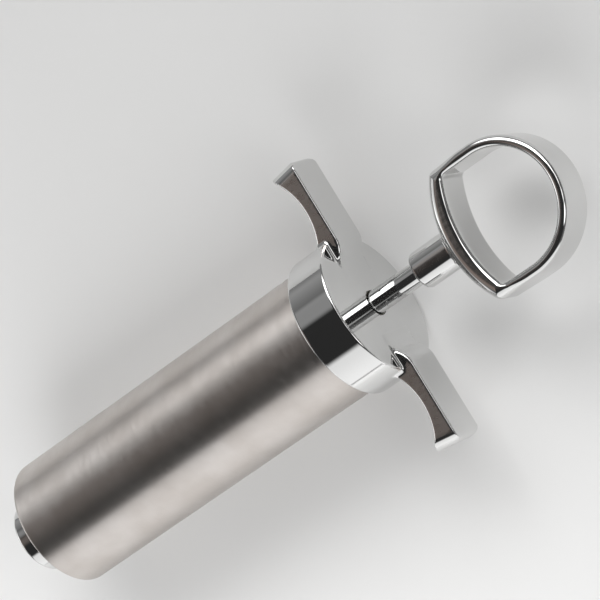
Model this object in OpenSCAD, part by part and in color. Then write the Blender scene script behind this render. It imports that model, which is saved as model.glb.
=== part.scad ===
/* [Barrel] */
// Outside diameter of the barrel tube
barrel_d = 34; // [32:0.5:36]
// Wall thickness of the barrel tube
barrel_wall = 1; // [0.8:0.1:1.2]
// Distance from the cap's face to the closed end of the barrel
barrel_depth = 111; // [100:1:130]
// Radius round the barrel's closed end
barrel_edge = 1; // [0.5:0.1:1]
// Thickness of the disc that closes the barrel
base_thick = 2; // [1.5:0.1:3]

/* [Needle socket] */
// Outside diameter of the needle socket
socket_d = 19.2; // [17:0.1:22]
// Length of the needle socket
socket_len = 8.3; // [8:0.1:12]
// Bore for the threaded hub of the needle, at the thread's crests
needle_bore_d = 8.5; // [7:0.1:9]
// Depth of the threaded bore
needle_bore_len = 5.5; // [4:0.1:6]
// Passage from the socket into the barrel
passage_d = 4; // [2:0.1:4.5]

/* [Cap] */
// Outside diameter of the screw cap
cap_d = 37.7; // [37.5:0.1:40]
// Height of the cap's skirt
cap_h = 11.5; // [11:0.1:14]
// Thickness of the cap's flat top
cap_top = 2.2; // [2:0.1:3]
// Radius round the cap's rim
cap_edge = 0.8; // [0.4:0.1:1]
// Pitch of the screw thread between cap and barrel
thread_pitch = 2.5; // [2.4:0.1:2.5]
// Whole turns of thread on each part
thread_turns = 2; // [1:1:2]

/* [Finger wings] */
// Distance across both finger wings
wing_span = 78.2; // [70:0.5:90]
// Width of a wing
wing_w = 12.2; // [10:0.1:14]
// Height of a wing's flat top above the cap's face
wing_rise = 3.1; // [2:0.1:4]
// Radius of the finger hollow under a wing
wing_hollow_r = 17.6; // [16:0.1:20]

/* [Plunger] */
// Diameter of the plunger rod
rod_d = 6; // [5:0.1:6.5]
// Gap in front of the piston as drawn
piston_gap = 12; // [8:0.5:12]
// Length of the piston
piston_len = 11; // [10.5:0.1:14]
// Thickness of the piston's O-rings
o_ring_d = 2.4; // [2:0.1:2.6]

/* [Thumb ring] */
// Outside width of the thumb ring
ring_w = 35.3; // [32:0.1:40]
// Thickness of the ring's strap
ring_strap = 2.3; // [2:0.05:3.5]
// Depth of the ring, front to back
ring_depth = 12.2; // [10:0.1:14]
// Height of the ring's outermost point above the cap's face
ring_top = 61.45; // [58:0.05:66]
// Diameter of the boss under the ring
boss_d = 9.4; // [8:0.1:10]
// Height of the boss's lower end above the cap's face
boss_low = 15; // [13:0.1:18]
// Angle between the thumb ring and the wings as drawn, which is free to change
ring_turn = 5; // [0:1:90]

/* [Hidden] */
$fn = 96;

// Parts are drawn upright, with the axis along Z, the cap's face at Z = 0 and the thumb ring above.
// lie_down() then lays them on a table: the thumb ring points along +X and the wings along Y.
cap_r = cap_d / 2;
barrel_r = barrel_d / 2;
bore_r = barrel_r - barrel_wall;
rod_r = rod_d / 2;
eps = 0.01;
running_gap = 0.05;

base_z = -barrel_depth;
socket_z = base_z - socket_len;
gasket_thick = 1.2;
rim_z = -cap_top - gasket_thick;

thread_gap = 0.12;
thread_depth = 0.55;
thread_base = 1.3;
thread_crest = 0.7;
thread_root_depth = 0.4;
thread_steps = 48;
thread_start = 11;
male_z = -cap_h + 1.4;
female_z = male_z - thread_pitch / 2;
cap_bore_r = barrel_r + thread_depth + thread_gap;

washer_thick = 1.2;
relief_z = socket_z + needle_bore_len;
relief_r = needle_bore_d / 2 + 0.35;
flange_h = 1.9;
groove_w = 0.5;
socket_edge = 1.2;

hub_r = 7.4;
hub_depth = 5.3;
bush_r = 5.2;
bush_len = 4.6;
bush_z = -cap_top + 1;
clip_thick = 0.7;
clip_r = bush_r + 0.5;
rod_hole_r = rod_r + 0.4;

wing_start = 9.4;
wing_flat = 17.9;
hollow_x = 27;
wing_corner = 2.4;
wing_tip_r = 2.6;
toe_r = 0.7;
toe_in = 0.6;
hollow_end_angle = 133;

piston_r = bore_r - 0.08;
seal_r = bore_r - 0.02;
piston_z = base_z + base_thick + piston_gap;
piston_top = piston_z + piston_len;
groove_h = o_ring_d + 0.4;
groove_floor_r = seal_r - o_ring_d - 0.06;
seal_z = [piston_z + 2.9, piston_z + piston_len - 2.9];
nut_pocket_r = 6.2;
nut_pocket_h = 5;
stud_r = 2.5;
nut_across_flats = 8;
nut_h = 3.2;
piston_washer_h = 1;
rod_seal_d = 1.2;
rod_seal_r = rod_r + rod_seal_d / 2;

ring_r = ring_w / 2;
ring_in_r = ring_r - ring_strap;
ring_mid_z = ring_top - ring_r;
bar_low_z = 26.6;
bar_low_r = 30.1;
bar_high_z = 31.3;
bar_high_r = 34.6;
rod_end_z = 24;

low_x = socket_z;
high_x = ring_top;

// Puts the middle of the part's base at the origin, the axis along X.
module lie_down() {
    translate([-(low_x + high_x) / 2, 0, cap_r])
        rotate([-90, 0, 0])
            rotate([0, 90, 0])
                children();
}

module tube(r_out, r_in, z, h) {
    translate([0, 0, z])
        difference() {
            cylinder(r = r_out, h = h);
            translate([0, 0, -1])
                cylinder(r = r_in, h = h + 2);
        }
}

// One helical ridge of a right-hand thread, from the radius where it is buried to its crest.
module thread_ridge(r_root, r_crest, z) {
    n = thread_steps * thread_turns;
    outward = r_crest > r_root;
    points = [for (i = [0:n])
        let (a = 360 * i / thread_steps + thread_start,
             low = z + thread_pitch * i / thread_steps,
             lean = (thread_base - thread_crest) / 2)
        each [[r_root * cos(a), r_root * sin(a), low],
              [r_root * cos(a), r_root * sin(a), low + thread_base],
              [r_crest * cos(a), r_crest * sin(a), low + thread_base - lean],
              [r_crest * cos(a), r_crest * sin(a), low + lean]]];
    sides = [for (i = [0:n - 1], k = [0:3])
        let (a = 4 * i + k, b = 4 * i + (k + 1) % 4)
        outward ? [a + 4, b + 4, b, a] : [a, b, b + 4, a + 4]];
    ends = outward ? [[0, 1, 2, 3], [4 * n + 3, 4 * n + 2, 4 * n + 1, 4 * n]]
                   : [[3, 2, 1, 0], [4 * n, 4 * n + 1, 4 * n + 2, 4 * n + 3]];
    polyhedron(points, concat(sides, ends));
}

module barrel_tube() {
    color("darkgray")
        lie_down() {
            rotate_extrude()
                difference() {
                    union() {
                        translate([0, base_z + barrel_edge])
                            square([barrel_r, rim_z - base_z - barrel_edge]);
                        translate([0, base_z])
                            square([barrel_r - barrel_edge, barrel_edge]);
                        translate([barrel_r - barrel_edge, base_z + barrel_edge])
                            circle(barrel_edge);
                    }
                    translate([-1, base_z - 1])
                        square([bore_r + 1, barrel_depth + 2]);
                }
            thread_ridge(barrel_r - thread_root_depth, barrel_r + thread_depth, male_z);
        }
}

module barrel_base() {
    color("darkgray")
        lie_down()
            tube(bore_r, passage_d / 2, base_z, base_thick);
}

module needle_socket() {
    color("silver")
        lie_down()
            difference() {
                rotate_extrude() {
                    translate([0, base_z - flange_h])
                        square([socket_d / 2 + 0.3, flange_h]);
                    translate([0, base_z - flange_h - groove_w])
                        square([socket_d / 2 - 0.4, groove_w + eps]);
                    translate([0, socket_z + socket_edge])
                        square([socket_d / 2, socket_len - flange_h - groove_w - socket_edge]);
                    translate([0, socket_z])
                        square([socket_d / 2 - socket_edge, socket_edge + eps]);
                    translate([socket_d / 2 - socket_edge, socket_z + socket_edge])
                        circle(socket_edge);
                }
                translate([0, 0, socket_z - 1])
                    cylinder(d = needle_bore_d, h = needle_bore_len + 1 + eps);
                translate([0, 0, relief_z])
                    cylinder(r = relief_r, h = washer_thick);
                translate([0, 0, socket_z])
                    cylinder(d = passage_d, h = socket_len + 1);
            }
}

module socket_washer() {
    color("white")
        lie_down()
            tube(relief_r, passage_d / 2, relief_z, washer_thick);
}

module cap_gasket() {
    color("white")
        lie_down()
            tube(cap_bore_r - 0.1, hub_r + 5, rim_z, gasket_thick);
}

// Points along a round stretch, from one angle to another.
function arc(center, r, from, to, steps = 12) =
    [for (i = [0:steps]) let (a = from + (to - from) * i / steps) center + r * [cos(a), sin(a)]];

// Side view of one wing: a smooth rise from the cap's face, a flat top, a rounded tip and a hollow for a finger.
module wing_outline() {
    run = wing_flat - wing_start;
    blend_r = (run * run + wing_rise * wing_rise) / (4 * wing_rise);
    slope = asin(run / 2 / blend_r);
    tip_x = wing_span / 2;
    hollow = [hollow_x, -wing_hollow_r];
    toe_x = tip_x - toe_in - toe_r;
    toe_angle = acos((toe_x - hollow_x) / (wing_hollow_r + toe_r));
    toe = hollow + (wing_hollow_r + toe_r) * [cos(toe_angle), sin(toe_angle)];
    polygon(concat([[wing_start, -1]],
                   arc([wing_start, blend_r], blend_r, slope / 6 - 90, slope - 90, 6),
                   arc([wing_flat, wing_rise - blend_r], blend_r, 90 + slope * 5 / 6, 90, 6),
                   arc([tip_x - wing_corner, wing_rise - wing_corner], wing_corner, 90, 0),
                   arc(toe, toe_r, 0, toe_angle - 180),
                   arc(hollow, wing_hollow_r, toe_angle, hollow_end_angle, 24)));
}

// Plan of one wing, with rounded corners at its tip.
module wing_plan() {
    corner = [wing_span / 2 - wing_tip_r, wing_w / 2 - wing_tip_r];
    polygon(concat([[0, wing_w / 2]],
                   arc(corner, wing_tip_r, 90, 0, 8),
                   arc([corner[0], -corner[1]], wing_tip_r, 0, -90, 8),
                   [[0, -wing_w / 2]]));
}

module wing() {
    intersection() {
        rotate([90, 0, 0])
            translate([0, 0, -wing_w])
                linear_extrude(2 * wing_w)
                    wing_outline();
        translate([0, 0, -cap_h])
            linear_extrude(cap_h + wing_rise + 1)
                wing_plan();
    }
}

module finger_cap() {
    color("lightgray")
        lie_down() {
            difference() {
                union() {
                    rotate_extrude() {
                        translate([0, -cap_h])
                            square([cap_r, cap_h - cap_edge]);
                        translate([0, -cap_edge - eps])
                            square([cap_r - cap_edge, cap_edge + eps]);
                        translate([cap_r - cap_edge, -cap_edge])
                            circle(cap_edge);
                    }
                    wing();
                    mirror([1, 0, 0])
                        wing();
                }
                difference() {
                    translate([0, 0, -cap_h - 1])
                        cylinder(r = cap_bore_r, h = cap_h + 1 - cap_top);
                    translate([0, 0, -cap_top - hub_depth])
                        cylinder(r = hub_r, h = hub_depth + 1);
                }
                translate([0, 0, -cap_top - hub_depth - 1])
                    cylinder(r = bush_r, h = hub_depth + 1 + bush_z + cap_top);
                translate([0, 0, bush_z - bush_len - clip_thick])
                    cylinder(r = clip_r, h = clip_thick);
                translate([0, 0, -cap_top])
                    cylinder(r = rod_hole_r, h = cap_top + 1);
            }
            thread_ridge(cap_bore_r + thread_root_depth, cap_bore_r - thread_depth, female_z);
        }
}

module rod_bush() {
    color("ivory")
        lie_down()
            tube(bush_r, rod_r + running_gap, bush_z - bush_len, bush_len);
}

module bush_clip() {
    color("gray")
        lie_down()
            difference() {
                tube(clip_r, bush_r - 1.2, bush_z - bush_len - clip_thick, clip_thick);
                translate([0, -1.5, bush_z - bush_len - clip_thick - 1])
                    cube([clip_r + 1, 3, clip_thick + 2]);
            }
}

module o_ring(mid_r, thick, z) {
    translate([0, 0, z])
        rotate_extrude()
            translate([mid_r, 0])
                circle(d = thick);
}

module front_o_ring() {
    color("black")
        lie_down()
            o_ring(seal_r - o_ring_d / 2, o_ring_d, seal_z[0]);
}

module rear_o_ring() {
    color("black")
        lie_down()
            o_ring(seal_r - o_ring_d / 2, o_ring_d, seal_z[1]);
}

module piston_body() {
    color("white")
        lie_down()
            difference() {
                translate([0, 0, piston_z])
                    cylinder(r = piston_r, h = piston_len);
                for (z = seal_z)
                    tube(piston_r + 1, groove_floor_r, z - groove_h / 2, groove_h);
                translate([0, 0, piston_z - 1])
                    cylinder(r = nut_pocket_r, h = nut_pocket_h + 1);
                translate([0, 0, piston_z])
                    cylinder(r = stud_r + 0.02, h = piston_len + 1);
                translate([0, 0, piston_top - rod_seal_d])
                    cylinder(r = rod_seal_r + rod_seal_d / 2, h = rod_seal_d + 1);
            }
}

module rod_o_ring() {
    color("black")
        lie_down()
            o_ring(rod_seal_r, rod_seal_d, piston_top - rod_seal_d / 2);
}

module piston_washer() {
    color("silver")
        lie_down()
            tube(nut_pocket_r - 0.7, stud_r + 0.02, piston_z + nut_pocket_h - piston_washer_h, piston_washer_h);
}

module piston_nut() {
    color("silver")
        lie_down()
            translate([0, 0, piston_z + nut_pocket_h - piston_washer_h - nut_h])
                difference() {
                    cylinder(d = nut_across_flats / cos(30), h = nut_h, $fn = 6);
                    translate([0, 0, -1])
                        cylinder(r = stud_r + 0.02, h = nut_h + 2);
                }
}

module plunger_rod() {
    color("silver")
        lie_down() {
            translate([0, 0, piston_top - rod_seal_d])
                cylinder(r = rod_r, h = rod_end_z - piston_top + rod_seal_d);
            translate([0, 0, piston_z + 0.5])
                cylinder(r = stud_r, h = piston_len);
        }
}

// Front view of the thumb ring: a bowed bar below, straight sides and a half-round top.
module ring_outline() {
    side_low_z = bar_low_z + bar_low_r - sqrt(pow(bar_low_r, 2) - pow(ring_r, 2));
    difference() {
        union() {
            intersection() {
                translate([-ring_r, bar_low_z])
                    square([ring_w, ring_mid_z - bar_low_z]);
                translate([0, bar_low_z + bar_low_r])
                    circle(bar_low_r);
            }
            translate([0, ring_mid_z])
                circle(ring_r);
        }
        intersection() {
            union() {
                translate([-ring_in_r, bar_high_z])
                    square([2 * ring_in_r, ring_mid_z - bar_high_z]);
                translate([0, ring_mid_z])
                    circle(ring_in_r);
            }
            translate([0, bar_high_z + bar_high_r])
                circle(bar_high_r);
        }
    }
}

module thumb_ring() {
    color("lightgray")
        lie_down()
            difference() {
                union() {
                    rotate([90, 0, -ring_turn])
                        translate([0, 0, -ring_depth / 2])
                            linear_extrude(ring_depth)
                                ring_outline();
                    rotate_extrude() {
                        translate([0, boss_low + 1])
                            square([boss_d / 2, bar_low_z + 1.5 - boss_low - 1]);
                        translate([0, boss_low])
                            square([boss_d / 2 - 1, 1 + eps]);
                        translate([boss_d / 2 - 1, boss_low + 1])
                            circle(1);
                    }
                }
                translate([0, 0, boss_low - 1])
                    cylinder(r = rod_r + 0.02, h = rod_end_z - boss_low + 1);
            }
}

barrel_tube();
barrel_base();
needle_socket();
socket_washer();
cap_gasket();
finger_cap();
rod_bush();
bush_clip();
front_o_ring();
rear_o_ring();
piston_body();
rod_o_ring();
piston_washer();
piston_nut();
plunger_rod();
thumb_ring();
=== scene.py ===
"""Looks of a meat injector: polished castings, a satin barrel and the parts inside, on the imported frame."""
import math

import bpy
import numpy as np
from mathutils import Matrix, Vector


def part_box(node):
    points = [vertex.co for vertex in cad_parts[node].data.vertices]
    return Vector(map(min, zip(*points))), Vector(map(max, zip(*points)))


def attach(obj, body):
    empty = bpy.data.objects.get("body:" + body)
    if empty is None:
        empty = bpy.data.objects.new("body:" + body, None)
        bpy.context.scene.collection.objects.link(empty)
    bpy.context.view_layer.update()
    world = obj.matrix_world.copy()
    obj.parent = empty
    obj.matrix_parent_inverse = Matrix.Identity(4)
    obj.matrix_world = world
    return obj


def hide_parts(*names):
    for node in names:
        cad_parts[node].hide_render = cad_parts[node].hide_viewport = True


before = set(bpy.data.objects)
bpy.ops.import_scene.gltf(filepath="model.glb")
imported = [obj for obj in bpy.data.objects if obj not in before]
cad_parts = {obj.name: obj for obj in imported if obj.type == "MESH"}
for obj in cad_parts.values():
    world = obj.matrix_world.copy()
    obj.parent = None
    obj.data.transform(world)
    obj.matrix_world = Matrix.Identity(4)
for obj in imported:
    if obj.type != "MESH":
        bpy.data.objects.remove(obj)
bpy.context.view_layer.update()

MM = 0.001


# ---------------------------------------------------------------- places and sizes that several parts share

def radius(low, high):
    """Radius of a round node lying along the axis."""
    return (high.z - low.z) / 2


cap_low, cap_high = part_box("finger_cap")
ring_low, ring_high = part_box("thumb_ring")
tube_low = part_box("barrel_tube")[0]
base_low, base_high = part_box("barrel_base")
socket_low, socket_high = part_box("needle_socket")
seat_low, seat_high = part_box("socket_washer")
gasket_low, gasket_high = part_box("cap_gasket")
bush_low, bush_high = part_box("rod_bush")
clip_low, clip_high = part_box("bush_clip")
front_low, front_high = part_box("front_o_ring")
rear_low, rear_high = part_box("rear_o_ring")
piston_low, piston_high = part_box("piston_body")
rod_ring_low, rod_ring_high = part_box("rod_o_ring")
washer_low, washer_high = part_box("piston_washer")
nut_low, nut_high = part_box("piston_nut")
rod_low, rod_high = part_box("plunger_rod")

AXIS_Z = (cap_low.z + cap_high.z) / 2
WING_RISE = 3.1 * MM
FACE_X = cap_high.x - WING_RISE
CAP_R = 18.85 * MM
CAP_H = FACE_X - cap_low.x
ROD_R = radius(rod_low, rod_high)
BARREL_R = 17 * MM
BARREL_IN_R = base_high.y
PASSAGE_R = 2 * MM
FIT = 0.02 * MM
STUD_HOLE_R = 2.52 * MM
ROD_SEAT_DEPTH = 1.2 * MM


# ---------------------------------------------------------------- meshes from distance fields

CAST_STEP = 0.3 * MM
CAST_MARGIN = 0.85 * MM
# Each mesh point is moved onto the surface in a few passes, and the least slope keeps each move short where
# the field is nearly level.
SETTLE_PASSES = 4
SETTLE_REACH = 0.02 * MM
NORMAL_REACH = 0.01 * MM
LEAST_SLOPE = 0.25


def box_of(low, high, margin):
    """A box in axis coordinates: along the axis from the cap's face, across the wings, and up."""
    offset = np.array([FACE_X, 0, AXIS_Z])
    return np.array(low) - offset - margin, np.array(high) - offset + margin


def round_union(a, b, r):
    """Joins two solids with a fillet of radius r."""
    fillet = np.hypot(np.maximum(r - a, 0), np.maximum(r - b, 0))
    return np.maximum(r, np.minimum(a, b)) - fillet


def round_common(a, b, r):
    """What two solids share, with edges rounded to radius r."""
    edge = np.hypot(np.maximum(r + a, 0), np.maximum(r + b, 0))
    return np.minimum(-r, np.maximum(a, b)) + edge


def drum(along, radial, low, high, r, edge):
    """A cylinder on the axis with rounded rims."""
    ends = np.abs(along - (low + high) / 2) - (high - low) / 2
    return round_common(radial - r, ends, edge)


def gradient(field, points, reach):
    """Direction in which a distance field grows."""
    slopes = []
    for axis in np.eye(3) * reach:
        slopes.append((field(points + axis) - field(points - axis)) / (2 * reach))
    return np.stack(slopes, axis=1)


def settled(field, points, step):
    """Points moved onto the zero surface of a distance field, by half a grid step at most in each pass."""
    for _ in range(SETTLE_PASSES):
        slope = gradient(field, points, SETTLE_REACH)
        size = np.maximum((slope ** 2).sum(1), LEAST_SLOPE)
        move = (field(points) / size)[:, None] * slope
        points = points - np.clip(move, -step / 2, step / 2)
    return points


def cell_points(values, mixed):
    """For each grid cell that the surface crosses, the mean of the crossings on its edges, in grid steps."""
    corners = [(i, j, k) for i in (0, 1) for j in (0, 1) for k in (0, 1)]
    cells = np.argwhere(mixed)
    centre = np.zeros((len(cells), 3))
    crossings = np.zeros(len(cells))
    for c in corners:
        for axis in range(3):
            if c[axis]:
                continue
            other = list(c)
            other[axis] = 1
            first = cells + c
            second = cells + other
            va = values[tuple(first.T)]
            vb = values[tuple(second.T)]
            crossed = (va < 0) != (vb < 0)
            share = np.where(crossed, va / np.where(crossed, va - vb, 1), 0)
            place = first + share[:, None] * (np.array(other) - np.array(c))
            centre += np.where(crossed[:, None], place, 0)
            crossings += crossed
    return centre / crossings[:, None]


def cell_quads(inside, number):
    """A quad round each grid edge that the surface crosses, facing outward."""
    quads = []
    for axis in range(3):
        u, v = [(1, 2), (2, 0), (0, 1)][axis]
        near = [slice(1, -1)] * 3
        far = [slice(1, -1)] * 3
        near[axis] = slice(0, -1)
        far[axis] = slice(1, None)
        a_in = inside[tuple(near)]
        b_in = inside[tuple(far)]
        for wanted, flip in ((a_in & ~b_in, False), (~a_in & b_in, True)):
            edges = np.argwhere(wanted)
            edges[:, u] += 1
            edges[:, v] += 1
            around = []
            for du, dv in ((-1, -1), (0, -1), (0, 0), (-1, 0)):
                cell = edges.copy()
                cell[:, u] += du
                cell[:, v] += dv
                around.append(number[tuple(cell.T)])
            loop = np.stack(around, axis=1)
            quads.append(loop[:, ::-1] if flip else loop)
    return np.concatenate(quads)


def skin(name, field, low, high, step):
    """A mesh of quads on the zero surface of a distance field, in axis coordinates."""
    counts = np.ceil((high - low) / step).astype(int) + 1
    axes = [low[i] + step * np.arange(counts[i]) for i in range(3)]
    grid = np.stack(np.meshgrid(*axes, indexing="ij"), axis=-1)
    values = field(grid.reshape(-1, 3)).reshape(counts)
    inside = values < 0
    nx, ny, nz = counts - 1
    total = np.zeros((nx, ny, nz), np.int8)
    for i, j, k in np.ndindex(2, 2, 2):
        total += inside[i:i + nx, j:j + ny, k:k + nz]
    mixed = (total > 0) & (total < 8)
    number = np.full(mixed.shape, -1, np.int64)
    number[mixed] = np.arange(mixed.sum())
    points = settled(field, low + step * cell_points(values, mixed), step)
    normals = gradient(field, points, NORMAL_REACH)
    normals /= np.linalg.norm(normals, axis=1)[:, None]

    mesh = bpy.data.meshes.new(name)
    places = points + np.array([FACE_X, 0, AXIS_Z])
    mesh.from_pydata(places.tolist(), [], cell_quads(inside, number).tolist())
    mesh.update()
    mesh.shade_smooth()
    mesh.normals_split_custom_set_from_vertices(normals.tolist())
    return mesh


# ---------------------------------------------------------------- turned meshes and threads

ARC_STEP = math.radians(11)
SHARP_EDGE = math.radians(40)


def rounded(corners, closed):
    """Points and outward normals of a turned part's profile, anticlockwise, with each corner rounded."""
    places = []
    count = len(corners)
    for i, (along, out, r) in enumerate(corners):
        here = np.array([along, out])
        before = np.array(corners[i - 1][:2])
        after = np.array(corners[(i + 1) % count][:2])
        if not closed and i in (0, count - 1):
            way = after - here if i == 0 else here - before
            way /= np.linalg.norm(way)
            places.append((here, np.array([way[1], -way[0]])))
            continue
        come = (here - before) / np.linalg.norm(here - before)
        go = (after - here) / np.linalg.norm(after - here)
        turn = math.atan2(come[0] * go[1] - come[1] * go[0], come @ go)
        back = r * math.tan(abs(turn) / 2)
        first = math.atan2(-come[0], come[1])
        side = 1 if turn > 0 else -1
        centre = here - come * back - side * r * np.array([math.cos(first), math.sin(first)])
        steps = max(2, math.ceil(abs(turn) / ARC_STEP))
        for k in range(steps + 1):
            a = first + turn * k / steps
            normal = np.array([math.cos(a), math.sin(a)])
            places.append((centre + side * r * normal, normal))
    return places


def turned(name, body, slot, corners, closed=True, steps=160, start=0.0, sweep=360.0):
    """A part turned round the axis from its profile of along, out and corner radius."""
    whole = sweep >= 360
    spokes = steps if whole else steps + 1
    points = []
    normals = []
    rows = []
    for (along, out), (lean, rise) in rounded(corners, closed):
        count = 1 if out == 0 else spokes
        rows.append([len(points) + j % count for j in range(spokes)])
        for j in range(count):
            a = math.radians(start + sweep * j / steps)
            points.append((along, out * math.sin(a), AXIS_Z + out * math.cos(a)))
            normals.append((lean, rise * math.sin(a), rise * math.cos(a)))
    faces = []
    for i, row in enumerate(rows if closed else rows[:-1]):
        after = rows[(i + 1) % len(rows)]
        for j in range(steps):
            m = (j + 1) % spokes
            faces.append(list(dict.fromkeys((row[j], row[m], after[m], after[j]))))
    if not whole:
        faces.append([row[0] for row in rows])
        faces.append([row[-1] for row in rows][::-1])
    mesh = bpy.data.meshes.new(name)
    mesh.from_pydata(points, [], faces)
    mesh.shade_smooth()
    mesh.update()
    if whole:
        mesh.normals_split_custom_set_from_vertices(normals)
    else:
        mesh.set_sharp_from_angle(angle=SHARP_EDGE)
    return piece_of(name, mesh, body, slot)


def piece_of(name, mesh, body, slot):
    """A piece on its moving body, with the material of its slot."""
    piece = bpy.data.objects.new(name, mesh)
    bpy.context.scene.collection.objects.link(piece)
    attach(piece, body)
    piece.data.materials.append(MATERIALS[slot])
    return piece


def ring_of(low, high, out, inner, r):
    """Profile of a plain ring between two places along the axis."""
    return [(low, inner, r), (high, inner, r), (high, out, r), (low, out, r)]


def o_ring(name, body, low, high):
    """An O-ring with the round section of its node."""
    half = (high.x - low.x) / 2
    out = radius(low, high)
    corners = ring_of(low.x, high.x, out, out - 2 * half, half * 0.999)
    return turned(name, body, "black_nitrile", corners)


def thread(name, body, slot, root, crest, low, pitch, turns, base, tip, start=11.0):
    """A right-handed helical ridge from a buried root to its crest, faded out at both ends."""
    around = 72
    fade_run = around / 10
    least = 0.15
    count = int(around * turns)
    lean = (base - tip) / 2
    points = []
    for i in range(count + 1):
        a = math.radians(start + 360 * i / around)
        along = low + pitch * i / around
        fade = min(1, i / fade_run, (count - i) / fade_run)
        top = root + (crest - root) * (least + (1 - least) * fade)
        section = ((root, along), (root, along + base), (top, along + base - lean), (top, along + lean))
        for out, x in section:
            points.append((x, -out * math.cos(a), AXIS_Z - out * math.sin(a)))
    faces = []
    for i in range(count):
        for k in range(4):
            a, b = 4 * i + k, 4 * i + (k + 1) % 4
            faces.append((a, b, b + 4, a + 4))
    faces += [[3, 2, 1, 0], [4 * count + k for k in range(4)]]
    if crest < root:
        faces = [face[::-1] for face in faces]
    mesh = bpy.data.meshes.new(name)
    mesh.from_pydata(points, [], faces)
    mesh.update()
    return piece_of(name, mesh, body, slot)


# ---------------------------------------------------------------- materials

CHROME = (0.71, 0.71, 0.705)
# Tone of the flat sides: warmer and browner than the chrome, a painted warm reflection
LINISHED_WARM_REFLECTION = (0.74, 0.69, 0.66)
STEEL = (0.60, 0.56, 0.53)
STEEL_DARK = (0.57, 0.53, 0.50)
STEEL_RUBBED = (0.66, 0.625, 0.60)
SILICONE = (0.82, 0.82, 0.79)
NITRILE = (0.018, 0.018, 0.019)
ACETAL = (0.80, 0.77, 0.68)
SPRING = (0.20, 0.20, 0.215)
FASTENER = (0.60, 0.59, 0.57)
MICRON = 0.000001
FLAT_START = 0.95
FLAT_FULL = 0.99
BELT_FADE = 2 * MM


def new_material(name, color, metallic, roughness):
    """A material with its node tree and its shader."""
    material = bpy.data.materials.new(name)
    material.use_nodes = True
    tree = material.node_tree
    shader = tree.nodes["Principled BSDF"]
    shader.inputs["Base Color"].default_value = (*color, 1)
    shader.inputs["Metallic"].default_value = metallic
    shader.inputs["Roughness"].default_value = roughness
    return material, tree, shader


def add(tree, kind, **values):
    """A new node with its properties and inputs set."""
    node = tree.nodes.new(kind)
    for key, value in values.items():
        if hasattr(node, key):
            setattr(node, key, value)
        else:
            node.inputs[key.replace("_", " ")].default_value = value
    return node


def noise(tree, scale, detail=2.0, stretch=(1, 1, 1)):
    """Noise in the object's own metres."""
    place = add(tree, "ShaderNodeTexCoord")
    mapping = add(tree, "ShaderNodeMapping", Scale=stretch)
    cloud = add(tree, "ShaderNodeTexNoise", Scale=scale, Detail=detail)
    tree.links.new(place.outputs["Object"], mapping.inputs["Vector"])
    tree.links.new(mapping.outputs["Vector"], cloud.inputs["Vector"])
    return cloud.outputs["Fac"]


def turned_noise(tree, along, around, detail=2.0):
    """Noise that runs in streaks round the part's axis."""
    place = add(tree, "ShaderNodeTexCoord")
    split = add(tree, "ShaderNodeSeparateXYZ")
    height = add(tree, "ShaderNodeMath", operation="SUBTRACT")
    height.inputs[1].default_value = AXIS_Z
    angle = add(tree, "ShaderNodeMath", operation="ARCTAN2")
    reach = add(tree, "ShaderNodeVectorMath", operation="LENGTH")
    flat = add(tree, "ShaderNodeCombineXYZ")
    together = add(tree, "ShaderNodeCombineXYZ")
    scaled = add(tree, "ShaderNodeVectorMath", operation="MULTIPLY")
    scaled.inputs[1].default_value = (along, around, along)
    cloud = add(tree, "ShaderNodeTexNoise", Scale=1.0, Detail=detail)
    tree.links.new(place.outputs["Object"], split.inputs[0])
    tree.links.new(split.outputs["Z"], height.inputs[0])
    tree.links.new(split.outputs["Y"], angle.inputs[0])
    tree.links.new(height.outputs["Value"], angle.inputs[1])
    tree.links.new(split.outputs["Y"], flat.inputs["Y"])
    tree.links.new(height.outputs["Value"], flat.inputs["Z"])
    tree.links.new(flat.outputs["Vector"], reach.inputs[0])
    tree.links.new(split.outputs["X"], together.inputs["X"])
    tree.links.new(angle.outputs["Value"], together.inputs["Y"])
    tree.links.new(reach.outputs["Value"], together.inputs["Z"])
    tree.links.new(together.outputs["Vector"], scaled.inputs[0])
    tree.links.new(scaled.outputs["Vector"], cloud.inputs["Vector"])
    return cloud.outputs["Fac"]


def ranged(tree, value, low, high, socket, start=0.3, end=0.7):
    """Spreads a noise over a range and feeds it to a socket."""
    spread = add(tree, "ShaderNodeMapRange", From_Min=start, From_Max=end, To_Min=low, To_Max=high)
    tree.links.new(value, spread.inputs["Value"])
    tree.links.new(spread.outputs["Result"], socket)
    return spread.outputs["Result"]


def tinted(tree, shader, value, dark, light, start=0.3, end=0.7):
    """Varies the base colour between two tones."""
    tones = add(tree, "ShaderNodeMix", data_type="RGBA")
    tones.inputs[6].default_value = (*dark, 1)
    tones.inputs[7].default_value = (*light, 1)
    ranged(tree, value, 0, 1, tones.inputs[0], start, end)
    tree.links.new(tones.outputs[2], shader.inputs["Base Color"])
    return tones.outputs[2]


def bumped(tree, shader, value, depth):
    """Raises the surface by a noise, to a depth in metres."""
    relief = add(tree, "ShaderNodeBump", Strength=1.0, Distance=depth)
    tree.links.new(value, relief.inputs["Height"])
    tree.links.new(relief.outputs["Normal"], shader.inputs["Normal"])


def eased(tree, value, start, end):
    """Size of a value, eased from 0 to 1 between two limits."""
    size = add(tree, "ShaderNodeMath", operation="ABSOLUTE")
    ease = add(tree, "ShaderNodeMapRange", From_Min=start, From_Max=end)
    ease.interpolation_type = "SMOOTHSTEP"
    tree.links.new(value, size.inputs[0])
    tree.links.new(size.outputs[0], ease.inputs["Value"])
    return ease.outputs["Result"]


def shaded(color, share):
    """A colour times a share."""
    return [share * c for c in color]


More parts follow.
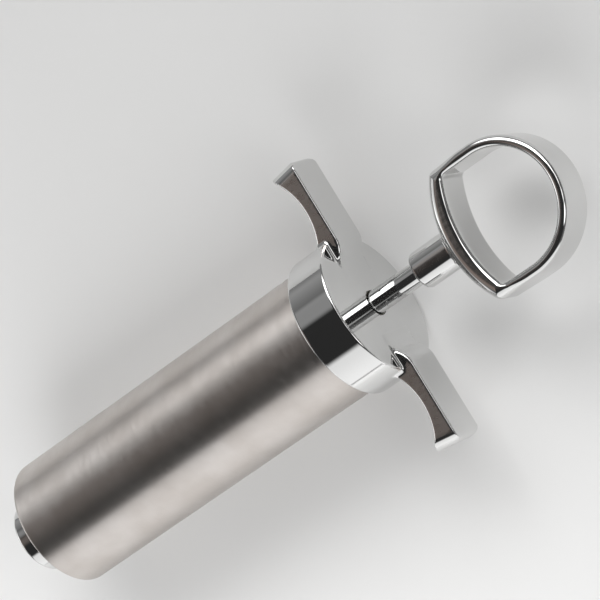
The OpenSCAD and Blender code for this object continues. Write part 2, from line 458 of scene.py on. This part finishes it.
def chrome_material(name):
    """Mirror polish over a casting: slow waves, and a faint haze from handling."""
    material, tree, shader = new_material(name, CHROME, metallic=1, roughness=0.04)
    smears = noise(tree, scale=160, detail=4)
    haze = ranged(tree, smears, 0.03, 0.075, shader.inputs["Roughness"], start=0.4, end=0.75)
    clouds = noise(tree, scale=45, detail=3)
    tones = tinted(tree, shader, clouds, shaded(CHROME, 0.97), shaded(CHROME, 1.02))
    bumped(tree, shader, noise(tree, scale=110, detail=1), depth=12 * MICRON)
    return material, tree, shader, haze, tones


def belted_warm_reflection_material(name, start, rough_low, rough_high):
    """Chrome whose flat sides are left from the belt, softer, and warmer in colour as a painted warm
    reflection, from a distance off the axis.

    A start of minus the fade or less takes in the whole of each flat side.
    """
    material, tree, shader, haze, polish = chrome_material(name)
    place = add(tree, "ShaderNodeTexCoord")
    facing = add(tree, "ShaderNodeSeparateXYZ")
    where = add(tree, "ShaderNodeSeparateXYZ")
    mask = add(tree, "ShaderNodeMath", operation="MULTIPLY")
    tree.links.new(place.outputs["Normal"], facing.inputs[0])
    tree.links.new(place.outputs["Object"], where.inputs[0])
    tree.links.new(eased(tree, facing.outputs["Z"], FLAT_START, FLAT_FULL), mask.inputs[0])
    tree.links.new(eased(tree, where.outputs["Y"], start, start + BELT_FADE), mask.inputs[1])
    # Painted reflection: the masked flat sides take a warm brown base colour in place of the polish tone
    tones = add(tree, "ShaderNodeMix", data_type="RGBA")
    tones.inputs[7].default_value = (*LINISHED_WARM_REFLECTION, 1)
    tree.links.new(polish, tones.inputs[6])
    rough = add(tree, "ShaderNodeMix")
    scratches = noise(tree, scale=1200, detail=3, stretch=(0.3, 1, 1))
    ranged(tree, scratches, rough_low, rough_high, rough.inputs["B"])
    tree.links.new(haze, rough.inputs["A"])
    tree.links.new(mask.outputs[0], tones.inputs[0])
    tree.links.new(mask.outputs[0], rough.inputs["Factor"])
    tree.links.new(tones.outputs[2], shader.inputs["Base Color"])
    tree.links.new(rough.outputs["Result"], shader.inputs["Roughness"])
    return material


def satin_material():
    """Drawn tube brushed round the axis, with a fine grain and a few pale rubbed marks."""
    material, tree, shader = new_material("barrel_steel", STEEL, metallic=1, roughness=0.34)
    across = add(tree, "ShaderNodeTangent", direction_type="RADIAL", axis="X")
    tree.links.new(across.outputs["Tangent"], shader.inputs["Tangent"])
    shader.inputs["Anisotropic"].default_value = 0.65
    shader.inputs["Anisotropic Rotation"].default_value = 0.25
    grain = turned_noise(tree, along=5200, around=5, detail=3)
    ranged(tree, grain, 0.29, 0.40, shader.inputs["Roughness"])
    rubbed = noise(tree, scale=70, detail=5)
    tinted(tree, shader, rubbed, STEEL_DARK, STEEL_RUBBED, start=0.42, end=0.72)
    bumped(tree, shader, grain, depth=1.6 * MICRON)
    return material


def plain_material(name, color, metallic, rough_low, rough_high, scale, depth):
    """A material whose tone, roughness and surface vary with one fine noise."""
    material, tree, shader = new_material(name, color, metallic, rough_low)
    fine = noise(tree, scale, detail=3)
    ranged(tree, fine, rough_low, rough_high, shader.inputs["Roughness"])
    tinted(tree, shader, noise(tree, scale=60), shaded(color, 0.93), color)
    bumped(tree, shader, fine, depth)
    return material


def turned_material(name, color, metallic, roughness, depth):
    """A part off the lathe, with rings round its axis."""
    material, tree, shader = new_material(name, color, metallic, roughness)
    rings = turned_noise(tree, along=6000, around=1.2)
    ranged(tree, rings, roughness - 0.06, roughness + 0.08, shader.inputs["Roughness"])
    tinted(tree, shader, noise(tree, scale=60), shaded(color, 0.94), color)
    bumped(tree, shader, rings, depth)
    return material


def silicone_material():
    """Soft white rubber that lets a little light in."""
    material = plain_material("white_silicone", SILICONE, 0, 0.38, 0.5, scale=900, depth=4 * MICRON)
    shader = material.node_tree.nodes["Principled BSDF"]
    shader.inputs["Subsurface Weight"].default_value = 0.25
    shader.inputs["Subsurface Radius"].default_value = (1 * MM, 0.8 * MM, 0.6 * MM)
    return material


MATERIALS = {
    "polished_chrome": chrome_material("polished_chrome")[0],
    "barrel_steel": satin_material(),
    "white_silicone": silicone_material(),
    "black_nitrile": plain_material("black_nitrile", NITRILE, 0, 0.36, 0.5, scale=1200, depth=3 * MICRON),
    "ivory_acetal": turned_material("ivory_acetal", ACETAL, 0, 0.38, depth=3 * MICRON),
    "spring_steel": plain_material("spring_steel", SPRING, 1, 0.3, 0.42, scale=1500, depth=2 * MICRON),
    "fastener_steel": turned_material("fastener_steel", FASTENER, 1, 0.3, depth=1.5 * MICRON),
}


# ---------------------------------------------------------------- finger cap

FACE_LIFT = 0.2 * MM
CAP_EDGE = 0.6 * MM
CAP_BORE_R = 17.67 * MM
CAP_TOP = 2.2 * MM
BORE_EDGE = 0.25 * MM
HUB_R = 7.4 * MM
HUB_END = CAP_TOP + 5.3 * MM
HOLE_R = ROD_R + 0.4 * MM
HOLE_EDGE = 0.2 * MM
BUSH_R = radius(bush_low, bush_high)
BUSH_TOP = FACE_X - bush_high.x
CLIP_R = radius(clip_low, clip_high)
CLIP_END = FACE_X - clip_low.x
CLIP_GROOVE = 0.7 * MM

WING_START = 9.4 * MM
WING_ROOT = WING_START - 1 * MM
WING_FLAT = 17.9 * MM
WING_HALF = 6.1 * MM
WING_TIP = cap_high.y
TIP_GROWTH = 0.1 * MM
WING_FILLET = 1.0 * MM
WING_EDGE = 0.8 * MM
TIP_TILT = math.radians(7)
TIP_CORNER = 2.2 * MM
TIP_PLAN_CORNER = 3.6 * MM
SIDE_DRAFT = math.radians(3)
HOLLOW_R = 17.0 * MM
HOLLOW_MID = 27.0 * MM
HOLLOW_DEPTH = 0.6 * MM
HOLLOW_EDGE = 0.7 * MM

THREAD_PITCH = 2.5 * MM
THREAD_TURNS = 2
RIDGE_BASE = 1.3 * MM
RIDGE_TIP = 0.7 * MM
RIDGE_SUNK = 0.4 * MM
RIDGE_RISE = 0.55 * MM


def wing_height(across):
    """Height of a wing's top over the cap's face, and how level it is: the cosine of its slope."""
    run = WING_FLAT - WING_START
    r = (run ** 2 + WING_RISE ** 2) / (4 * WING_RISE)
    first = np.clip(across - WING_START, 0, run / 2)
    second = np.clip(WING_FLAT - across, 0, run / 2)
    low_part = r - np.sqrt(r ** 2 - first ** 2)
    high_part = WING_RISE - r + np.sqrt(r ** 2 - second ** 2)
    middle = WING_START + run / 2
    height = np.where(across < middle, low_part, high_part)
    lean = np.where(across < middle, first, second) / r
    return height, np.sqrt(1 - lean ** 2)


def wing_field(p):
    """Both wings: a top that rises in an S from the face, a hollow for the finger, and drafted sides."""
    along = p[:, 0]
    across = np.abs(p[:, 1])
    height, level = wing_height(across)
    top = (along - height - FACE_LIFT) * level
    tip = (across - WING_TIP) * math.cos(TIP_TILT) - along * math.sin(TIP_TILT) - TIP_GROWTH
    hollow = HOLLOW_R - np.hypot(across - HOLLOW_MID, along + HOLLOW_R + HOLLOW_DEPTH)
    side = (np.abs(p[:, 2]) - WING_HALF) * math.cos(SIDE_DRAFT) + (height - along) * math.sin(SIDE_DRAFT)
    profile = round_common(top, tip, TIP_CORNER)
    profile = round_common(profile, hollow, HOLLOW_EDGE)
    plan = round_common(tip, side, TIP_PLAN_CORNER)
    body = np.maximum(round_common(profile, side, WING_EDGE), plan)
    return np.maximum(body, WING_ROOT - across)


def cap_field(p):
    """The cap: skirt, face and wings, less the bore round the hub and the seats of the bush and its clip."""
    along = p[:, 0]
    radial = np.hypot(p[:, 1], p[:, 2])
    body = drum(along, radial, -CAP_H, FACE_LIFT, CAP_R, CAP_EDGE)
    solid = round_union(body, wing_field(p), WING_FILLET)
    bore = np.maximum(radial - CAP_BORE_R, along + CAP_TOP)
    hub = np.maximum(radial - HUB_R, -along - HUB_END)
    hollow = np.maximum(bore, -hub)
    solid = round_common(solid, -hollow, BORE_EDGE)
    bush_seat = np.maximum(radial - BUSH_R - FIT, along + BUSH_TOP - FIT)
    clip_seat = np.maximum(np.maximum(radial - CLIP_R, along + CLIP_END - CLIP_GROOVE), -along - CLIP_END)
    solid = np.maximum(solid, -np.minimum(bush_seat, clip_seat))
    return round_common(solid, HOLE_R - radial, HOLE_EDGE)


def make_finger_cap():
    low, high = box_of(cap_low, cap_high, CAST_MARGIN)
    mesh = skin("finger_cap_casting", cap_field, low, high, CAST_STEP)
    piece = piece_of("finger_cap_casting", mesh, "cap", "polished_chrome")
    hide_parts("finger_cap")
    piece.data.materials[0] = belted_warm_reflection_material("cap_chrome", CAP_R - 2.5 * MM, rough_low=0.25, rough_high=0.33)
    thread("finger_cap_thread", "cap", "polished_chrome", CAP_BORE_R + RIDGE_SUNK, CAP_BORE_R - RIDGE_RISE,
           cap_low.x + 0.15 * MM, THREAD_PITCH, THREAD_TURNS, RIDGE_BASE, RIDGE_TIP)


# ---------------------------------------------------------------- thumb ring

RING_R = 17.65 * MM
RING_IN_R = RING_R - 2.8 * MM
RING_MID = ring_high.x - FACE_X - RING_R
RING_HALF = 5.9 * MM
RING_TURN = math.radians(-5)
RING_CORNER = 1.2 * MM
OPENING_CORNER = 0.8 * MM
INNER_EDGE = 1.5 * MM
BAR_LOW = 25.8 * MM
BAR_LOW_R = 30.1 * MM
BAR_HIGH = 31.6 * MM
BAR_HIGH_R = 34.6 * MM
BAR_EDGE = 3.2 * MM
ARCH_EDGE = 1.4 * MM
EDGE_START = BAR_HIGH + 1 * MM
EDGE_RUN = 9 * MM
BOSS_R = 4.9 * MM
BOSS_LOW = ring_low.x - FACE_X
BOSS_HIGH = BAR_HIGH - 2.2 * MM
BOSS_EDGE = 0.9 * MM
BOSS_FILLET = 0.5 * MM
BORE_RIM = 0.15 * MM
ROD_END = rod_high.x - FACE_X


def ring_field(p):
    """The D-shaped ring, with a bar between two shallow arcs, and its boss bored for the rod."""
    along = p[:, 0]
    across = np.abs(p[:, 1] * math.cos(RING_TURN) + p[:, 2] * math.sin(RING_TURN))
    upward = p[:, 2] * math.cos(RING_TURN) - p[:, 1] * math.sin(RING_TURN)
    radial = np.hypot(p[:, 1], p[:, 2])
    above = np.maximum(along - RING_MID, 0)
    arch = np.hypot(across, above)
    under = np.hypot(across, along - BAR_LOW - BAR_LOW_R) - BAR_LOW_R
    over = np.hypot(across, along - BAR_HIGH - BAR_HIGH_R) - BAR_HIGH_R
    outline = round_common(arch - RING_R, under, RING_CORNER)
    opening = round_common(arch - RING_IN_R, over, OPENING_CORNER)
    side = np.abs(upward) - RING_HALF
    share = np.clip((along - EDGE_START) / EDGE_RUN, 0, 1)
    edge = BAR_EDGE + (ARCH_EDGE - BAR_EDGE) * share * share * (3 - 2 * share)
    outer = round_common(outline, side, edge)
    ring = round_common(outer, -opening, INNER_EDGE)
    boss = drum(along, radial, BOSS_LOW, BOSS_HIGH, BOSS_R, BOSS_EDGE)
    solid = round_union(ring, boss, BOSS_FILLET)
    bore = np.maximum(radial - ROD_R - FIT, along - ROD_END)
    return round_common(solid, -bore, BORE_RIM)


def make_thumb_ring():
    low, high = box_of(ring_low, ring_high, CAST_MARGIN)
    mesh = skin("thumb_ring_casting", ring_field, low, high, CAST_STEP)
    piece = piece_of("thumb_ring_casting", mesh, "plunger", "polished_chrome")
    piece.data.materials[0] = belted_warm_reflection_material("ring_chrome", -2 * BELT_FADE, rough_low=0.16, rough_high=0.24)
    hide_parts("thumb_ring")


# ---------------------------------------------------------------- barrel and needle socket

SOCKET_R = 9.6 * MM
FLANGE_H = 1.9 * MM
GROOVE_H = 0.5 * MM
GROOVE_DEPTH = 0.4 * MM
NEEDLE_R = 4.9 * MM
SEAT_R = radius(seat_low, seat_high)


def make_barrel():
    low = tube_low.x
    rim = gasket_low.x
    piece = turned("barrel_tube_drawn", "barrel", "barrel_steel",
                   [(low, BARREL_IN_R, 0.04 * MM), (rim, BARREL_IN_R, 0.2 * MM),
                    (rim, BARREL_R, 0.25 * MM), (low, BARREL_R, 0.92 * MM)])
    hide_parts("barrel_tube")
    thread("barrel_tube_thread", "barrel", "barrel_steel", BARREL_R - RIDGE_SUNK, BARREL_R + RIDGE_RISE,
           cap_low.x + 1.4 * MM, THREAD_PITCH, THREAD_TURNS, RIDGE_BASE, RIDGE_TIP)

    piece = turned("barrel_base_disc", "barrel", "barrel_steel",
                   ring_of(base_low.x, base_high.x, BARREL_IN_R, PASSAGE_R, 0.06 * MM))
    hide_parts("barrel_base")


def make_socket():
    low, high = socket_low.x, socket_high.x
    flange_r = radius(socket_low, socket_high)
    flange = high - FLANGE_H
    groove = flange - GROOVE_H
    groove_r = SOCKET_R - GROOVE_DEPTH
    corners = [(high, PASSAGE_R, 0.1 * MM), (high, flange_r, 0.25 * MM), (flange, flange_r, 0.25 * MM),
               (flange, groove_r, 0.1 * MM), (groove, groove_r, 0.1 * MM), (groove, SOCKET_R, 0.15 * MM),
               (low, SOCKET_R, 1.2 * MM), (low, NEEDLE_R, 0.45 * MM), (seat_low.x, NEEDLE_R, 0.02 * MM),
               (seat_low.x, SEAT_R, 0.02 * MM), (seat_high.x, SEAT_R, 0.05 * MM),
               (seat_high.x, PASSAGE_R, 0.1 * MM)]
    piece = turned("needle_socket_turned", "barrel", "polished_chrome", corners)
    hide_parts("needle_socket")
    thread("needle_socket_thread", "barrel", "polished_chrome", root=5.0 * MM, crest=4.26 * MM,
           low=low + 0.5 * MM, pitch=1.5 * MM, turns=2.4, base=1.3 * MM, tip=0.3 * MM, start=0)
    piece = turned("socket_washer_soft", "barrel", "white_silicone",
                   ring_of(seat_low.x, seat_high.x, SEAT_R, PASSAGE_R, 0.2 * MM), steps=72)
    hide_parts("socket_washer")


# ---------------------------------------------------------------- seals, bush and piston

GASKET_IN_R = 12.4 * MM
CLIP_WIDTH = 1.2 * MM
CLIP_GAP = 36
POCKET_R = 6.2 * MM
POCKET_DEPTH = 5 * MM
GROOVE_HALF = 1.4 * MM
ROD_SEAT_R = 4.2 * MM


def make_seals():
    gasket_r = radius(gasket_low, gasket_high)
    piece = turned("cap_gasket_soft", "cap_seal", "white_silicone",
                   ring_of(gasket_low.x, gasket_high.x, gasket_r, GASKET_IN_R, 0.3 * MM))
    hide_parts("cap_gasket")
    piece = turned("rod_bush_turned", "cap", "ivory_acetal",
                   ring_of(bush_low.x, bush_high.x, BUSH_R, ROD_R + 0.05 * MM, 0.25 * MM), steps=96)
    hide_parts("rod_bush")
    piece = turned("bush_clip_spring", "cap", "spring_steel",
                   ring_of(clip_low.x, clip_high.x, CLIP_R, BUSH_R - CLIP_WIDTH, 0.12 * MM),
                   steps=96, start=CLIP_GAP / 2 - 90, sweep=360 - CLIP_GAP)
    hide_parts("bush_clip")
    for node, body, low, high in (("front_o_ring", "piston_seals", front_low, front_high),
                                  ("rear_o_ring", "piston_seals", rear_low, rear_high),
                                  ("rod_o_ring", "plunger", rod_ring_low, rod_ring_high)):
        piece = o_ring(node + "_moulded", body, low, high)
        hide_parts(node)


def make_piston():
    low, high = piston_low.x, piston_high.x
    out = radius(piston_low, piston_high)
    pocket_end = low + POCKET_DEPTH
    rod_seat = high - ROD_SEAT_DEPTH
    floor_r = radius(front_low, front_high) - (front_high.x - front_low.x) - 0.06 * MM
    corners = [(pocket_end, STUD_HOLE_R, 0.1 * MM), (rod_seat, STUD_HOLE_R, 0.1 * MM),
               (rod_seat, ROD_SEAT_R, 0.1 * MM), (high, ROD_SEAT_R, 0.15 * MM), (high, out, 0.5 * MM)]
    for ring_a, ring_b in ((rear_low, rear_high), (front_low, front_high)):
        middle = (ring_a.x + ring_b.x) / 2
        corners += [(middle + GROOVE_HALF, out, 0.15 * MM), (middle + GROOVE_HALF, floor_r, 0.2 * MM),
                    (middle - GROOVE_HALF, floor_r, 0.2 * MM), (middle - GROOVE_HALF, out, 0.15 * MM)]
    corners += [(low, out, 0.5 * MM), (low, POCKET_R, 0.3 * MM), (pocket_end, POCKET_R, 0.2 * MM)]
    piece = turned("piston_body_turned", "plunger", "ivory_acetal", corners)
    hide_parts("piston_body")
    washer_r = radius(washer_low, washer_high)
    piece = turned("piston_washer_pressed", "plunger", "fastener_steel",
                   ring_of(washer_low.x, washer_high.x, washer_r, STUD_HOLE_R, 0.1 * MM), steps=96)
    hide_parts("piston_washer")


# ---------------------------------------------------------------- nut and rod

NUT_FLAT = radius(nut_low, nut_high)
NUT_MID = (nut_low.x + nut_high.x) / 2 - FACE_X
NUT_HALF = (nut_high.x - nut_low.x) / 2
CHAMFER_R = 4.1 * MM
CHAMFER = math.radians(30)
STUD_R = 2.3 * MM


def nut_field(p):
    """A hexagon with its flats up and down, chamfered at both ends and bored for the stud."""
    radial = np.hypot(p[:, 1], p[:, 2])
    flats = np.full(len(p), -1.0)
    for k in range(6):
        a = math.radians(60 * k)
        flats = np.maximum(flats, p[:, 2] * math.cos(a) + p[:, 1] * math.sin(a) - NUT_FLAT)
    ends = np.abs(p[:, 0] - NUT_MID) - NUT_HALF
    cone = (radial - CHAMFER_R) * math.sin(CHAMFER) + ends * math.cos(CHAMFER)
    body = round_common(np.maximum(flats, cone), ends, 0.1 * MM)
    return round_common(body, STUD_HOLE_R - radial, 0.25 * MM)


def make_nut():
    low, high = box_of(nut_low, nut_high, 0.4 * MM)
    mesh = skin("piston_nut_hex", nut_field, low, high, 0.14 * MM)
    piece = piece_of("piston_nut_hex", mesh, "plunger", "fastener_steel")
    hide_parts("piston_nut")


def make_rod():
    low, high = rod_low.x, rod_high.x
    shoulder = piston_high.x - ROD_SEAT_DEPTH
    corners = [(high, 0, 0), (high, ROD_R, 0.3 * MM), (shoulder, ROD_R, 0.2 * MM),
               (shoulder, STUD_R, 0.1 * MM), (low, STUD_R, 0.3 * MM), (low, 0, 0)]
    piece = turned("plunger_rod_ground", "plunger", "polished_chrome", corners, closed=False, steps=96)
    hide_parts("plunger_rod")
    thread("plunger_rod_thread", "plunger", "fastener_steel", root=2.2 * MM, crest=2.5 * MM,
           low=low + 0.3 * MM, pitch=0.8 * MM, turns=11, base=0.7 * MM, tip=0.1 * MM, start=0)


# ---------------------------------------------------------------- studio

FLOOR_SIZE = 1.6
PAPER = (0.80, 0.80, 0.79)
PAPER_DARK = (0.785, 0.785, 0.78)
PAPER_LIGHT = (0.805, 0.805, 0.80)
NEUTRAL = (1, 1, 1)
WARM = (1, 0.84, 0.76)
# Each soft box in the sky: azimuth, elevation, half-angle where it starts to fade, half-angle where it ends,
# strength and tint.
SOFT_BOXES = [
    (-112, 2, 36, 44, 0.95, NEUTRAL),
    (128, 47, 8, 16, 0.28, NEUTRAL),
    (122, 20, 10, 20, 0.12, NEUTRAL),
    (62, 38, 15, 22, 3.6, NEUTRAL),
    (92, 36, 14, 22, 2.6, NEUTRAL),
    (34, 42, 7, 12, 2.2, NEUTRAL),
    (12, 42, 4, 10, 1.6, NEUTRAL),
    (-10, 42, 5, 10, 1.6, NEUTRAL),
    (-36, 36, 8, 14, 2.2, NEUTRAL),
    (155, 18, 9, 17, 0.7, NEUTRAL),
    (172, 8, 10, 20, 1.0, NEUTRAL),
    (170, 40, 8, 20, 0.2, WARM),
]
SKY = 0.03
HORIZON = 0.25
SKY_START = 0.7

CAMERA_TARGET = Vector((FACE_X - 17.48 * MM, 11.2 * MM, AXIS_Z))
CAMERA_AZIMUTH = -14.25
CAMERA_ELEVATION = 59.78
CAMERA_ROLL = math.radians(-108.95)
CAMERA_DISTANCE = 0.8958
CAMERA_LENS = 220.85
CAMERA_SENSOR = 36


def make_floor():
    bpy.ops.mesh.primitive_plane_add(size=FLOOR_SIZE, location=(0, 0, 0))
    floor = bpy.context.object
    floor.name = "floor"
    material, tree, shader = new_material("floor_paper", PAPER, metallic=0, roughness=0.9)
    tinted(tree, shader, noise(tree, scale=9, detail=4), PAPER_DARK, PAPER_LIGHT)
    floor.data.materials.append(material)


def direction(azimuth, elevation):
    """Unit vector to a place in the sky, from its angles in degrees."""
    a = math.radians(azimuth)
    e = math.radians(elevation)
    return Vector((math.cos(a) * math.cos(e), math.sin(a) * math.cos(e), math.sin(e)))


def make_sky():
    """A dim sky, paler near the horizon, with the soft boxes added to it one by one."""
    world = bpy.data.worlds.new("studio")
    bpy.context.scene.world = world
    world.use_nodes = True
    tree = world.node_tree
    background = tree.nodes["Background"]
    place = add(tree, "ShaderNodeTexCoord")
    split = add(tree, "ShaderNodeSeparateXYZ")
    tree.links.new(place.outputs["Generated"], split.inputs[0])
    haze = add(tree, "ShaderNodeMapRange", From_Min=0.0, From_Max=SKY_START, To_Min=HORIZON, To_Max=SKY)
    haze.interpolation_type = "SMOOTHSTEP"
    tree.links.new(split.outputs["Z"], haze.inputs["Value"])
    total = haze.outputs["Result"]
    for azimuth, elevation, full, edge, strength, tint in SOFT_BOXES:
        dot = add(tree, "ShaderNodeVectorMath", operation="DOT_PRODUCT")
        dot.inputs[1].default_value = direction(azimuth, elevation)
        tree.links.new(place.outputs["Generated"], dot.inputs[0])
        fade = add(tree, "ShaderNodeMapRange")
        fade.interpolation_type = "SMOOTHSTEP"
        fade.inputs["From Min"].default_value = math.cos(math.radians(edge))
        fade.inputs["From Max"].default_value = math.cos(math.radians(full))
        tree.links.new(dot.outputs["Value"], fade.inputs["Value"])
        glow = add(tree, "ShaderNodeVectorMath", operation="MULTIPLY_ADD")
        glow.inputs[1].default_value = shaded(tint, strength)
        tree.links.new(fade.outputs["Result"], glow.inputs[0])
        tree.links.new(total, glow.inputs[2])
        total = glow.outputs["Vector"]
    tree.links.new(total, background.inputs["Color"])


def make_fill():
    """A soft lamp over the floor on the side away from the key light, which no mirror surface shows."""
    data = bpy.data.lights.new("floor_fill", "AREA")
    data.size = 0.3
    data.energy = 0.8
    lamp = bpy.data.objects.new("floor_fill", data)
    lamp.location = (FACE_X - 0.15, -0.26, 0.22)
    aim = Vector((FACE_X - 0.11, -0.06, 0)) - lamp.location
    lamp.rotation_euler = aim.to_track_quat("-Z", "Y").to_euler()
    lamp.visible_glossy = False
    bpy.context.scene.collection.objects.link(lamp)


def make_camera():
    """Looks down on the part from the ring's side, rolled so that the ring points to the upper right."""
    back = direction(CAMERA_AZIMUTH, CAMERA_ELEVATION)
    data = bpy.data.cameras.new("camera")
    data.sensor_width = CAMERA_SENSOR
    data.lens = CAMERA_LENS
    data.clip_start = 0.05
    camera = bpy.data.objects.new("camera", data)
    camera.location = CAMERA_TARGET + back * CAMERA_DISTANCE
    look = (-back).to_track_quat("-Z", "Y")
    roll = Matrix.Rotation(CAMERA_ROLL, 4, "Z")
    camera.rotation_euler = (look.to_matrix().to_4x4() @ roll).to_euler()
    bpy.context.scene.collection.objects.link(camera)
    bpy.context.scene.camera = camera


make_finger_cap()
make_thumb_ring()
make_barrel()
make_socket()
make_seals()
make_piston()
make_nut()
make_rod()
make_floor()
make_sky()
make_fill()
make_camera()
bpy.context.scene.view_settings.view_transform = "Standard"
